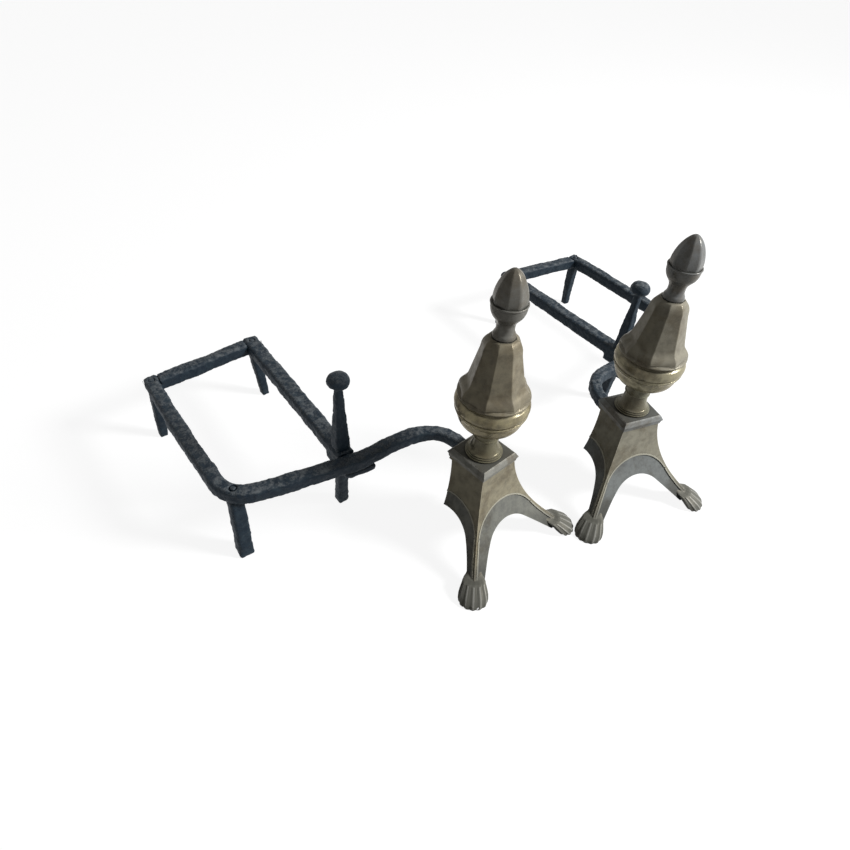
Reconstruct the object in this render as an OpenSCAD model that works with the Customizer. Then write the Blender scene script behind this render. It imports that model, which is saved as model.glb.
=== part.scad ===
// A pair of brass and wrought-iron andirons with steeple tops.
// Each andiron stands on two cast paw feet in front and on four forged legs
// behind. A tie rod clamps the brass pieces of the column onto the eye of the
// gooseneck bar, which carries the log rest. The left andiron is the mirror
// image of the right one. +Z is up, and the fronts face -Y.

/* [Pair] */
// Distance between the two columns
column_gap = 252; // [251:1:320]
// How far the right andiron stands in front of the left one
right_forward = 48; // [0:1:60]
// Turn of the left brass front on its rod, degrees inward
left_turn = 7; // [0:0.5:8]
// Turn of the right brass front on its rod, degrees inward
right_turn = 14; // [8:0.5:15]
// Turn of the left steeple and finial on the rod, degrees from the front
left_top_turn = 16.5; // [0:0.5:45]
// Turn of the right steeple and finial on the rod, degrees from the front
right_top_turn = 1; // [0:0.5:45]

/* [Base casting] */
// Height of the base casting
base_h = 137; // [130:1:144]
// Half width of the body under the plinth
body_half = 32.6; // [31:0.2:34]
// Radius of the concave flare of the faces
flare_r = 186; // [178:1:196]
// Slope of the faces at the top, degrees from upright
flare_top = 6; // [4:0.5:8]
// Slope of the faces along the legs, degrees from upright
flare_low = 43; // [40:0.5:45]
// Thickness of the cast walls
wall = 4.5; // [3.5:0.1:5]
// Thickness of the top of the casting
crown_t = 5; // [4:0.5:7]
// Height of the front arch
front_crown = 59; // [56:0.5:62]
// Radius of the crown of the front arch
front_arch_r = 54; // [51:0.5:57]
// Slope of the front arch along the legs, degrees from upright
front_arch_low = 49; // [46:0.5:50]
// Height of the side arches
side_crown = 67; // [64:0.5:70]
// Radius of the crown of the side arches
side_arch_r = 62; // [59:0.5:64]
// Slope of the side arches along the legs, degrees from upright
side_arch_low = 46.5; // [44:0.5:48]
// Height of the line over each arch
line_crown = 89.5; // [86:0.5:93]
// Radius of that line
line_r = 61; // [58:0.5:64]
// Distance of the raised threads from each corner
arris_w = 3.6; // [3:0.2:6]
// Width of the raised threads along the corners and over the arches
thread_w = 1.6; // [1.2:0.1:2.4]
// Height of the threads over the upper field
thread_t = 0.7; // [0.5:0.1:1]
// Depth of the sunk band between thread and arch, below the thread
band_sink = 1.4; // [1.1:0.1:1.8]
// Where the back cut meets the side arches, behind the rod
back_low = 14; // [10:1:18]

/* [Paw feet] */
// Distance of the middle of each sole from the rod
paw_reach = 144; // [141:0.5:145]
// Half width of a paw across
paw_half_w = 21; // [19.5:0.5:22]
// Half depth of a paw
paw_half_d = 15; // [14:0.5:16]
// Height of a paw
paw_h = 20; // [18:0.5:23]
// Depth of the flutes
flute = 1.8; // [0.5:0.1:2.4]
// Number of flutes round a paw
flutes = 12; // [10:1:14]

/* [Plinth and pedestal] */
// Half width of the plinth at its widest
plinth_half = 35; // [33.5:0.5:37]
// Thickness of the plinth
plinth_t = 15; // [13:0.5:18]
// Height of the pedestal
pedestal_h = 48; // [44:1:54]
// Radius of the pedestal's foot
pedestal_foot_r = 29; // [27:0.5:30]
// Radius of the neck of the pedestal
neck_r = 14.2; // [13:0.2:15]
// Radius of the ring on the neck
neck_ring_r = 15.8; // [15:0.2:18]

/* [Dish] */
// Height of the dish
dish_h = 56; // [50:1:62]
// Widest radius of the dish
dish_r = 49.8; // [48.6:0.2:52]
// Height of the bright band of the dish
dish_band_h = 19; // [16:1:22]
// Height of the recessed rim above the band
dish_rim_h = 5; // [4:0.5:6]
// Wall of the dish
dish_wall = 4; // [3:0.5:5]

/* [Steeple] */
// Height of the steeple
steeple_h = 86; // [80:1:94]
// Radius of the lip at the bottom of the steeple
steeple_lip_r = 47.4; // [45.6:0.2:48.2]
// Half width across the facets where the flare starts
steeple_mid = 33; // [31.5:0.5:34.5]
// Height of the flare
steeple_flare_h = 24; // [20:1:28]
// Half width across the facets below the shoulder
steeple_top = 23.6; // [22:0.2:25]
// Wall of the steeple
steeple_wall = 3.5; // [3:0.5:5]

/* [Finial] */
// Height of the finial
finial_h = 88; // [82:1:96]
// Widest radius of the finial, at its bead
finial_r = 22; // [20:0.2:24]
// Radius of the finial's waist
waist_r = 11.3; // [10:0.2:13]
// Radius of the collar under the finial
collar_r = 14.4; // [13.6:0.2:15.4]
// Height of the bead over the bottom of the finial
bead_up = 46; // [43:1:50]

/* [Tie rod] */
// Radius of the tie rod
rod_r = 4.5; // [4:0.1:5.5]
// Clearance round the rod in the pieces that it holds
rod_gap = 0.4; // [0.2:0.1:0.8]
// Clearance of the rod in its threads
thread_gap = 0.1; // [0.05:0.05:0.2]
// Length of thread inside the finial
thread_up = 30; // [24:1:36]
// Half width of the square nut
nut_half = 10; // [8:0.5:11]
// Thickness of the nut
nut_t = 9; // [7:0.5:11]

/* [Iron bars] */
// Height of the underside of the log rest
rest_under = 97; // [90:1:102]
// Thickness of the bars of the log rest
bar_t = 22; // [20:0.5:24]
// Width of the outer, front and back runs
bar_w = 22; // [20:0.5:24]
// Width of the inner run
inner_w = 26; // [24:0.5:28]
// Thickness and width of the gooseneck at the eye
neck_t = 19; // [17:0.5:20]
// Reach of the round bend at the front outer corner
bend_reach = 42; // [36:1:50]
// Middle of the inner run, out from the rod
inner_x = 146; // [142:1:150]
// Middle of the outer run, out from the rod
outer_x = 315; // [300:1:330]
// Outward bow of the outer run
outer_bow = 7; // [0:1:10]
// Where the front run crosses the inner run, behind the rod
front_y = 111; // [106:1:116]
// How much further back the front run lies at its outer end
front_skew = 27; // [15:1:30]
// Middle of the rear outer corner, behind the rod
rear_y = 423; // [400:1:450]
// How much further back the rear inner corner lies
rear_skew = 20; // [10:1:30]
// Length of the inner run's tongue under the gooseneck
tongue_l = 34; // [26:1:40]
// Thickness of the tongue
tongue_t = 9; // [7:0.5:11]

/* [Legs and log stop] */
// Radius of the round tenons of legs and log stop
tenon_r = 5; // [4:0.5:6]
// Clearance round the tenons
tenon_gap = 0.1; // [0.05:0.05:0.3]
// Half width at the head of a rear leg
leg_head = 9; // [8:0.5:10]
// Half width at the foot of a rear leg
leg_foot = 7; // [6:0.5:8]
// Half width of the front outer leg
outer_leg_half = 11; // [9:0.5:11]
// Half width of the front inner leg
inner_leg_half = 9; // [8:0.5:10]
// How far the front outer leg splays forward
outer_leg_splay = 16; // [0:1:20]
// How far the rear outer leg splays outward
rear_outer_splay = 6; // [0:1:12]
// How far the rear inner leg splays inward
rear_inner_splay = 8; // [0:1:14]
// Distance of the log stop behind the middle of the front run
stop_back = 28; // [26:1:32]
// Height of the log stop's post
post_h = 112; // [96:1:120]
// Half width of the post at its foot
post_foot = 11; // [9:0.5:12]
// Half width of the post at its neck
post_neck = 4.6; // [4:0.2:6]
// Radius of the ball
ball_r = 16.5; // [15:0.5:18]
// Height of the ball
ball_h = 20; // [18:1:24]

/* [Hidden] */
$fn = 64;
PIECES = ["finial", "steeple", "dish", "pedestal", "plinth", "base", "tie_rod", "rod_nut",
    "gooseneck_bar", "back_bar", "inner_bar", "log_stop", "front_inner_leg",
    "front_outer_leg", "rear_outer_leg", "rear_inner_leg"];

brass = [0.62, 0.56, 0.42];
brass_dark = [0.50, 0.45, 0.34];
iron = [0.16, 0.18, 0.19];
far = 600;              // longer than any cut or extrusion needs to be
over = 1;               // how far a cut runs past the face it opens
lap_gap = 0.05;         // clearance on each side of a half lap
bar_chamfer = 3.5;      // broken edges of the forged bars

// heights of the seats up the column
pedestal_z = base_h + plinth_t;
dish_z = pedestal_z + pedestal_h;
steeple_z = dish_z + dish_h;
finial_z = steeple_z + steeple_h;
column_top = finial_z + finial_h;

// the gooseneck's eye bears up against the underside of the casting's top
eye_z = base_h - crown_t - neck_t / 2;
eye_back = body_half + 4;
eye_front = 15;
nut_z = eye_z - neck_t / 2 - nut_t;
rod_tail = 5;           // rod left showing under the nut

rest_top = rest_under + bar_t;
rest_mid = rest_under + bar_t / 2;

// plan of the log rest
corner_c = [inner_x, front_y];
corner_d = [outer_x, front_y + front_skew];
corner_a = [outer_x + outer_bow, rear_y];
corner_b = [inner_x, rear_y + rear_skew];
stop_xy = [inner_x, front_y + stop_back];
leg_d_xy = corner_d + [-bend_reach, bend_reach] / 4;

// the faces of the body: a concave arc, then straight down the legs
flare_x = body_half + flare_r * cos(flare_top);
flare_z = base_h + flare_r * sin(flare_top);
leg_x = flare_x - flare_r * cos(flare_low);
leg_z = flare_z - flare_r * sin(flare_low);

// fluted paw, as stations of [share of its height, of its width, of its depth]
paw_swell = [[0, 0.86, 0.86], [0.12, 0.96, 0.97], [0.3, 1, 1.02], [0.5, 0.98, 1], [0.7, 0.9, 0.9],
    [0.88, 0.8, 0.78], [1, 0.7, 0.68]];
ankle_set_in = 6;       // the ankle's middle lies this far inside the corner

// the pair's reach front to back, which puts the origin in its middle
paws_front = max(paw_front(left_turn) - right_forward / 2, paw_front(right_turn) + right_forward / 2);
back_run = heading(corner_a, corner_b);
rest_rear = right_forward / 2 + corner_b.y + back_run.y * inner_w / 2 - back_run.x * bar_w / 2;
centre_y = (paws_front - rest_rear) / 2;

// ---- curves ----

// unit vector from a towards b
function heading(a, b) = (b - a) / norm(b - a);

// round stretch from a to c, drawn towards b
function bend(a, b, c, n = 6) =
    [for (i = [0:n]) let (t = i / n) (1 - t) * (1 - t) * a + 2 * t * (1 - t) * b + t * t * c];

// curve that leaves a towards b and reaches d from c
function bezier(a, b, c, d, n) =
    [for (i = [0:n]) let (t = i / n, u = 1 - t)
        u * u * u * a + 3 * u * u * t * b + 3 * u * t * t * c + t * t * t * d];

// half-round bead of radius r that bulges outward at height z
function bead(x, z, r, n = 6) =
    [for (i = [0:n]) let (a = -90 + 180 * i / n) [x + r * cos(a), z + r * sin(a)]];

// ---- placing ----

module left_side() {
    translate([-column_gap / 2, right_forward / 2 + centre_y, 0])
        mirror([1, 0, 0]) children();
}

module right_side() {
    translate([column_gap / 2, -right_forward / 2 + centre_y, 0]) children();
}

// ---- bars and posts ----

// corners of a bar's section with broken edges, going round
function section(w, h, c) = [[w, h - c], [w - c, h], [c - w, h], [-w, h - c],
    [-w, c - h], [c - w, -h], [w - c, -h], [w, c - h]];

function along(path, i) = heading(path[max(i - 1, 0)], path[min(i + 1, len(path) - 1)]);

function across(t) = let (s = cross(t, [0, 0, 1])) s / norm(s);

// closed skin over rings of m points each, from the first ring to the last
module skin(rings, m = 8) {
    n = len(rings);
    polyhedron(
        points = [for (r = rings) for (p = r) p],
        faces = concat(
            [[for (j = [0:m - 1]) m - 1 - j]],
            [[for (j = [0:m - 1]) (n - 1) * m + j]],
            [for (i = [0:n - 2]) for (j = [0:m - 1]) let (k = (j + 1) % m)
                [i * m + j, (i + 1) * m + k, (i + 1) * m + j]],
            [for (i = [0:n - 2]) for (j = [0:m - 1]) let (k = (j + 1) % m)
                [i * m + j, i * m + k, (i + 1) * m + k]]),
        convexity = 6);
}

// square bar along a path, whose width and thickness change along it
module bar(path, widths, heights) {
    skin([for (i = [0:len(path) - 1])
        let (t = along(path, i), s = across(t), u = cross(s, t))
        [for (q = section(widths[i] / 2, heights[i] / 2, bar_chamfer)) path[i] + s * q.x + u * q.y]]);
}

// upright through level square stations [x, y, z, half width]
module upright(stations) {
    skin([for (s = stations)
        [for (q = section(s[3], s[3], s[3] / 4)) [s.x - q.x, s.y + q.y, s.z]]]);
}

// ---- brass pieces, each in the frame of its own column ----

// eight flat sides that all follow one outline
module eight_sided() {
    rotate([0, 0, 22.5]) intersection_for (a = [0, 45, 90, 135])
        rotate([90, 0, a]) linear_extrude(height = far, center = true) children();
}

// four flat sides that all follow one outline
module four_sided() {
    intersection_for (a = [0, 90])
        rotate([90, 0, a]) linear_extrude(height = far, center = true) children();
}

// outline mirrored about the axis
module both_ways(points) {
    polygon(concat(points, [for (i = [len(points) - 1:-1:0]) [-points[i].x, points[i].y]]));
}

// finial: eight-sided point over a bead, a round cup, a waist and a collar
module finial() {
    z = finial_z;
    tip = column_top;
    bead_z = z + bead_up;
    facets = concat(
        [[finial_r - 2.6, bead_z]],
        bezier([finial_r - 2.4, bead_z + 2.8], [finial_r - 1.7, bead_z + 15],
            [finial_r - 8.5, tip - 6.5], [3.2, tip - 0.7], 12),
        [[1.2, tip]]);
    cup = concat(
        [[0, z], [collar_r - 0.8, z]],
        bend([collar_r, z + 0.8], [collar_r, z + 4], [collar_r - 1.2, z + 6], 3),
        bend([collar_r - 2, z + 7], [waist_r - 0.4, z + 11], [waist_r, z + 14], 4),
        bend([waist_r, z + 17], [waist_r + 0.6, z + 22], [waist_r + 4, z + 26], 4),
        bend([waist_r + 7, z + 30], [finial_r - 0.3, bead_z - 11], [finial_r - 0.2, bead_z - 2.2], 5),
        bead(finial_r - 0.6, bead_z, 1.3),
        [[0, bead_z + 1.3]]);
    color(brass) difference() {
        union() {
            eight_sided() both_ways(facets);
            rotate_extrude() polygon(cup);
        }
        translate([0, 0, z - over]) cylinder(r = rod_r + thread_gap, h = thread_up + 2 * over);
    }
}

// steeple: hollow eight-sided bell on a round lip
module steeple() {
    z = steeple_z;
    top = finial_z;
    flare = z + steeple_flare_h;
    shoulder = top - 13;
    skirt = steeple_lip_r * cos(22.5) - 0.3;
    facets = concat(
        [[skirt, z + 3]],
        bend([skirt, z + 4], [skirt - 0.2, z + 9], [skirt - 3.6, z + 13], 5),
        bend([skirt - 5, z + 14.6], [steeple_mid + 1.2, z + 18.5], [steeple_mid, flare + 2], 5),
        [[steeple_top + 1, shoulder - 8]],
        bend([steeple_top, shoulder], [steeple_top - 2, top - 4], [collar_r + 0.6, top], 5));
    lip = concat(
        [[0, z], [steeple_lip_r - 1.6, z]],
        bead(steeple_lip_r - 1.6, z + 1.6, 1.6),
        [[steeple_lip_r - 3, z + 4.5], [0, z + 4.5]]);
    inner = concat(
        [[0, z - over], [steeple_lip_r - 8, z - over]],
        bend([steeple_lip_r - 8, z + 3], [steeple_mid - 2, z + 10],
            [steeple_mid - steeple_wall, flare + 2], 5),
        [[steeple_top - steeple_wall, shoulder - 8], [steeple_top - steeple_wall - 6, top - 9],
            [0, top - 9]]);
    color(brass) difference() {
        union() {
            eight_sided() both_ways(facets);
            rotate_extrude() polygon(lip);
        }
        rotate_extrude() polygon(inner);
        translate([0, 0, top - 20]) cylinder(r = rod_r + rod_gap, h = 40);
    }
}

// dish: turned bowl with a bright band, hollow from above
module dish() {
    z = dish_z;
    top = steeple_z;
    band_top = top - dish_rim_h;
    band_low = band_top - dish_band_h;
    rim_r = steeple_lip_r - 1.8;
    outline = concat(
        [[0, z], [neck_ring_r - 1, z], [neck_ring_r, z + 1]],
        bend([neck_ring_r + 3, z + 2.4], [dish_r - 8, z + 3.5], [dish_r - 5, band_low - 6], 8),
        bend([dish_r - 4, band_low - 4], [dish_r - 2.6, band_low - 2], [dish_r - 2.2, band_low - 0.5], 3),
        bead(dish_r - 2.6, band_low + 1.5, 1.2, 4),
        bend([dish_r - 2.4, band_low + 3.4], [dish_r + 1.4, band_low + 10], [dish_r - 1.6, band_top - 3], 8),
        [[dish_r - 3.4, band_top], [rim_r - 1.4, band_top + 1]],
        bend([rim_r - 1.6, band_top + 2], [rim_r - 0.6, top - 1.5], [rim_r, top], 3),
        [[0, top]]);
    hollow_r = rim_r - dish_wall - 6;
    hollow = concat(
        [[0, z + 9], [neck_r, z + 9]],
        bend([neck_r + 4, z + 10], [hollow_r - 2, z + 14], [hollow_r, band_low], 6),
        [[hollow_r, top + over], [0, top + over]]);
    color(brass) difference() {
        rotate_extrude() polygon(outline);
        rotate_extrude() polygon(hollow);
        translate([0, 0, z - over]) cylinder(r = rod_r + rod_gap, h = 20);
    }
}

// pedestal: ringed neck that flares to a stepped foot
module pedestal() {
    z = pedestal_z;
    top = dish_z;
    foot = pedestal_foot_r;
    outline = concat(
        [[0, z], [foot, z]],
        bead(foot - 1, z + 1.8, 1.2, 4),
        [[foot - 2, z + 3.4], [foot - 3.4, z + 3.6]],
        bead(foot - 4, z + 5, 1, 4),
        [[foot - 5.2, z + 6.4]],
        bend([foot - 6, z + 7.2], [neck_r + 0.6, z + 11], [neck_r, z + 25], 8),
        [[neck_r, top - 19], [neck_r + 0.6, top - 18.4]],
        bead(neck_ring_r - 1.2, top - 16.5, 1.2, 4),
        [[neck_r + 0.4, top - 14.8], [neck_r + 0.4, top - 13.8]],
        bead(neck_ring_r - 2, top - 12.4, 1.1, 4),
        bend([neck_r, top - 10.8], [neck_r - 0.4, top - 5], [neck_ring_r - 1, top], 4),
        [[0, top]]);
    color(brass_dark) difference() {
        rotate_extrude() polygon(outline);
        translate([0, 0, z - over]) cylinder(r = rod_r + rod_gap, h = pedestal_h + 2 * over);
    }
}

// plinth: square moulded plate, mitred at its corners
module plinth() {
    z = base_h;
    top = pedestal_z;
    mould = [[body_half + 0.6, z], [body_half + 0.8, z + 2.2], [plinth_half - 1.2, z + 5.4],
        [plinth_half, z + 7], [plinth_half, z + 8.6], [plinth_half - 2.6, top - 2],
        [plinth_half - 3.4, top - 0.8], [plinth_half - 4.2, top - 0.8], [plinth_half - 4.6, top]];
    color(brass) difference() {
        four_sided() both_ways(mould);
        translate([0, 0, z - over]) cylinder(r = rod_r + rod_gap, h = plinth_t + 2 * over);
    }
}

// where the corner of the body stands at height z on a leg, out along an axis
function leg_corner(z) = leg_x + (leg_z - z) * tan(flare_low);

// upright outline of the flared body, set in square to the face by d
module flare_outline(d) {
    r = flare_r + d;
    low_x = flare_x - r * cos(flare_low);
    low_z = flare_z - r * sin(flare_low);
    sole_x = low_x + low_z * tan(flare_low);
    difference() {
        polygon([[-sole_x, 0], [sole_x, 0], [low_x, low_z], [low_x, base_h], [-low_x, base_h],
            [-low_x, low_z]]);
        translate([flare_x, flare_z]) circle(r = r);
        translate([-flare_x, flare_z]) circle(r = r);
    }
}

// upright outline of an arch: a round crown, then straight down the legs
module arch_outline(crown, r, low) {
    arc = [for (i = [-12:12]) let (a = 90 - i * (90 - low) / 12) [r * cos(a), crown - r + r * sin(a)]];
    foot = arc[24] + (arc[24].y + over) * [tan(low), -1];
    polygon(concat([[-foot.x, foot.y]], arc, [foot]));
}

// field inside the line that follows an arch and the corners, set in by d
module band_field(d) {
    line_z = line_crown - line_r;
    intersection() {
        flare_outline(arris_w + d);
        union() {
            translate([0, line_z]) circle(r = line_r - d);
            translate([-far / 2, 0]) square([far, line_z + line_r * 0.5]);
        }
    }
}

// one layer of the casting's skin, set in by d, only where the outline says
module skin_layer(d) {
    intersection() {
        four_sided() flare_outline(d);
        union() for (a = [0, 90])
            rotate([90, 0, a]) linear_extrude(height = far, center = true) children();
    }
}

function paw_ring(s) =
    let (
        z = s[0] * paw_h,
        ankle = leg_corner(paw_h) * sqrt(2) - ankle_set_in,
        reach = paw_reach - (paw_reach - ankle) * pow(s[0], 1.4),
        cut = flute * (1 - 0.7 * s[0]) / paw_half_w)
    [for (i = [0:4 * flutes - 1])
        let (a = -90 * i / flutes, g = 1 - cut * (1 - abs(cos(flutes * a / 2))))
        [paw_half_w * s[1] * g * sin(a), -reach - paw_half_d * s[2] * g * cos(a), z]];

// how far the paws of a front turned by an angle reach forward of its rod
function paw_front(turn) =
    max([for (s = paw_swell) for (p = paw_ring(s)) p.x * sin(45 - turn) - p.y * cos(45 - turn)]);

module paw() {
    skin([for (s = paw_swell) paw_ring(s)], 4 * flutes);
}

// base: hollow casting with three arches, two angle legs and two paws
module base() {
    ankle_z = paw_h * 0.6;
    under_crown = base_h - crown_t;
    color(brass) difference() {
        union() {
            difference() {
                union() {
                    four_sided() flare_outline(band_sink);
                    difference() {
                        four_sided() flare_outline(thread_t);
                        for (a = [0, 90])
                            rotate([90, 0, a]) linear_extrude(height = far, center = true) band_field(0);
                    }
                    skin_layer(0) difference() {
                        band_field(-0.3);
                        band_field(thread_w);
                    }
                }
                intersection() {
                    four_sided() flare_outline(wall);
                    translate([-far / 2, -far / 2, 0]) cube([far, far, under_crown]);
                }
                rotate([90, 0, 0]) linear_extrude(height = far, center = true)
                    arch_outline(front_crown, front_arch_r, front_arch_low);
                rotate([90, 0, 90]) linear_extrude(height = far, center = true)
                    arch_outline(side_crown, side_arch_r, side_arch_low);
                rotate([90, 0, 90]) linear_extrude(height = far, center = true)
                    polygon([[body_half - wall - over, under_crown], [back_low, side_crown],
                        [back_low, -over], [far, -over], [far, under_crown]]);
                translate([-far / 2, -far / 2, -over]) cube([far, far, ankle_z + over]);
            }
            for (side = [-1, 1]) rotate([0, 0, side * 45]) paw();
        }
        translate([0, 0, under_crown - 10]) cylinder(r = rod_r + rod_gap, h = crown_t + 20);
    }
}

// tie rod: iron rod from the nut under the eye up into the finial
module tie_rod() {
    low = nut_z - rod_tail;
    color(iron) translate([0, 0, low]) cylinder(r = rod_r, h = finial_z + thread_up - low);
}

// square nut that draws the eye up against the casting
module rod_nut() {
    color(iron) translate([0, 0, nut_z]) difference() {
        translate([-nut_half, -nut_half, 0]) cube([2 * nut_half, 2 * nut_half, nut_t]);
        translate([0, 0, -over]) cylinder(r = rod_r + thread_gap, h = nut_t + 2 * over);
    }
}

// ---- iron pieces, in the frame of the log rest ----

function at_rest(p) = [p.x, p.y, rest_mid];

// point on the outer run, a share t of the way from its front to its rear corner
function outer_run(t) = corner_d + (corner_a - corner_d) * t + [outer_bow * 2 * t * (1 - t), 0];

// route of the long bar: eye, gooseneck, front run, round bend and outer run
front_run = heading(corner_c, corner_d);
outer_end = heading(outer_run(0.9), corner_a);
neck_start = [0, eye_back, eye_z];
neck_meet = at_rest(corner_c - front_run * 4);
neck_curve = bezier(neck_start + [0.4, 4, 0.4], neck_start + [2, 78, 12],
    neck_meet - [48, 4, -2], neck_meet, 12);
bend_in = corner_d - front_run * bend_reach;
bend_out = outer_run(bend_reach / norm(corner_a - corner_d));
long_route = concat(
    [[0, -eye_front, eye_z], neck_start],
    neck_curve,
    [at_rest((corner_c + corner_d) / 2)],
    [for (p = bend(bend_in, corner_d, bend_out, 6)) at_rest(p)],
    [for (t = [0.35, 0.5, 0.65, 0.8, 0.9]) at_rest(outer_run(t))],
    [at_rest(corner_a + outer_end * bar_w / 2)]);

// straight block along a run and past its ends, used to cut the half laps
module run_block(a, b, w, low, high) {
    u = heading(a, b);
    translate([a.x, a.y, low]) rotate([0, 0, atan2(u.y, u.x)])
        translate([-bar_w * 2, -w / 2 - lap_gap, 0])
            cube([norm(b - a) + bar_w * 4, w + 2 * lap_gap, high - low]);
}

module tenon_hole(p) {
    translate([p.x, p.y, 0]) cylinder(r = tenon_r + tenon_gap, h = rest_top + over);
}

// gooseneck bar: one forged bar from the eye to the rear outer corner
module gooseneck_bar() {
    n = len(long_route);
    swell = [for (i = [0:n - 1]) min(1, max(0, (i - 2) / 12))];
    color(iron) difference() {
        bar(long_route, [for (s = swell) neck_t + (bar_w - neck_t) * s],
            [for (s = swell) neck_t + (bar_t - neck_t) * s]);
        translate([0, 0, eye_z - neck_t]) cylinder(r = rod_r + rod_gap, h = 2 * neck_t);
        run_block(corner_b, corner_a, bar_w, rest_under - over, rest_mid);
        tenon_hole(corner_a);
        tenon_hole(leg_d_xy);
    }
}

// five stations along a straight run
function stations(a, b) = [for (t = [0, 0.3, 0.5, 0.7, 1]) at_rest(a + (b - a) * t)];

module straight_bar(a, b, w) {
    bar(stations(a, b), [for (i = [0:4]) w], [for (i = [0:4]) bar_t]);
}

// back bar: half-lapped under both long runs
module back_bar() {
    color(iron) difference() {
        straight_bar(corner_a - back_run * bar_w / 2, corner_b + back_run * inner_w / 2, bar_w);
        run_block(outer_run(0.9), corner_a, bar_w, rest_mid, rest_top + over);
        run_block(corner_c, corner_b, inner_w, rest_mid, rest_top + over);
        tenon_hole(corner_a);
        tenon_hole(corner_b);
    }
}

// inner bar: runs forward to the front run and turns in under the gooseneck
module inner_bar() {
    half = inner_w / 2;
    start = corner_c + [0, bar_w / 2 + 0.8 + half * front_run.y];
    end = corner_b + [0, bar_w / 2];
    color(iron) difference() {
        union() {
            straight_bar(start, end, inner_w);
            translate([0, 0, rest_under - tongue_t]) linear_extrude(height = tongue_t) polygon(concat(
                [[inner_x - half, start.y + 36], [inner_x + half, start.y + 36]],
                bend([inner_x + half, front_y + 6], [inner_x + half, front_y - bar_w / 2],
                    [inner_x + 2, front_y - bar_w / 2 + 1], 5),
                [[inner_x - tongue_l, front_y - bar_w / 2 - 1], [inner_x - tongue_l - 3, front_y + 2],
                    [inner_x - half - 3, front_y + 7], [inner_x - half, front_y + 13]]));
        }
        run_block(corner_a, corner_b, bar_w, rest_under - over, rest_mid);
        tenon_hole(corner_b);
        tenon_hole(stop_xy);
    }
}

module tenon(p, low, high) {
    translate([p.x, p.y, low]) cylinder(r = tenon_r, h = high - low);
}

// leg: tapered forging whose tenon is riveted through the bars over it
module leg(head, foot, head_half, foot_half) {
    middle = (head + foot) / 2;
    color(iron) union() {
        upright([[foot.x, foot.y, 0, foot_half],
            [middle.x, middle.y, rest_under / 2, (head_half + foot_half) / 2],
            [head.x, head.y, rest_under, head_half]]);
        tenon(head, rest_under - 8, rest_top);
    }
}

module front_outer_leg() {
    leg(leg_d_xy, leg_d_xy + [6, -outer_leg_splay], outer_leg_half - 1, outer_leg_half);
}

module rear_outer_leg() {
    leg(corner_a, corner_a + [rear_outer_splay, 4], leg_head, leg_foot);
}

module rear_inner_leg() {
    leg(corner_b, corner_b - [rear_inner_splay, 4], leg_head, leg_foot);
}

socket_z = rest_under - tongue_t - 16;

// front inner leg: socketed for the log stop's tenon
module front_inner_leg() {
    head_z = rest_under - tongue_t;
    color(iron) difference() {
        upright([[stop_xy.x, stop_xy.y + 4, 0, inner_leg_half - 1],
            [stop_xy.x, stop_xy.y, head_z, inner_leg_half]]);
        translate([stop_xy.x, stop_xy.y, socket_z - over]) cylinder(r = tenon_r + tenon_gap, h = head_z);
    }
}

// log stop: square tapered post under a flattened ball
module log_stop() {
    x = stop_xy.x;
    y = stop_xy.y;
    top = rest_top + post_h;
    ball = concat(
        [[0, top - 1], [post_neck + 0.6, top - 1]],
        bend([ball_r - 5, top + 1], [ball_r, top + 3], [ball_r, top + ball_h * 0.42], 5),
        bend([ball_r, top + ball_h * 0.46], [ball_r - 1, top + ball_h * 0.86],
            [ball_r * 0.45, top + ball_h * 0.96], 6),
        [[0, top + ball_h]]);
    color(iron) union() {
        upright([[x, y, rest_top, post_foot], [x, y, rest_top + 10, post_foot - 0.6],
            [x, y, rest_top + post_h / 2, (post_foot + post_neck) / 2 + 0.6], [x, y, top, post_neck]]);
        translate([x, y, 0]) rotate_extrude() polygon(ball);
        tenon(stop_xy, socket_z, rest_top + 4);
    }
}

// ---- the two andirons ----

module andiron(side, turn, top_turn) {
    rotate([0, 0, top_turn - turn]) finial();
    rotate([0, 0, top_turn - turn]) steeple();
    rotate([0, 0, -turn]) dish();
    rotate([0, 0, -turn]) pedestal();
    rotate([0, 0, -turn]) plinth();
    rotate([0, 0, -turn]) base();
    tie_rod();
    rod_nut();
    gooseneck_bar();
    back_bar();
    inner_bar();
    log_stop();
    front_inner_leg();
    front_outer_leg();
    rear_outer_leg();
    rear_inner_leg();
}

left_side() andiron("left", left_turn, left_top_turn);
right_side() andiron("right", right_turn, right_top_turn);
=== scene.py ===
from math import atan2, cos, pi, radians, sin, tan

import bpy
from mathutils import Matrix, Vector


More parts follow.
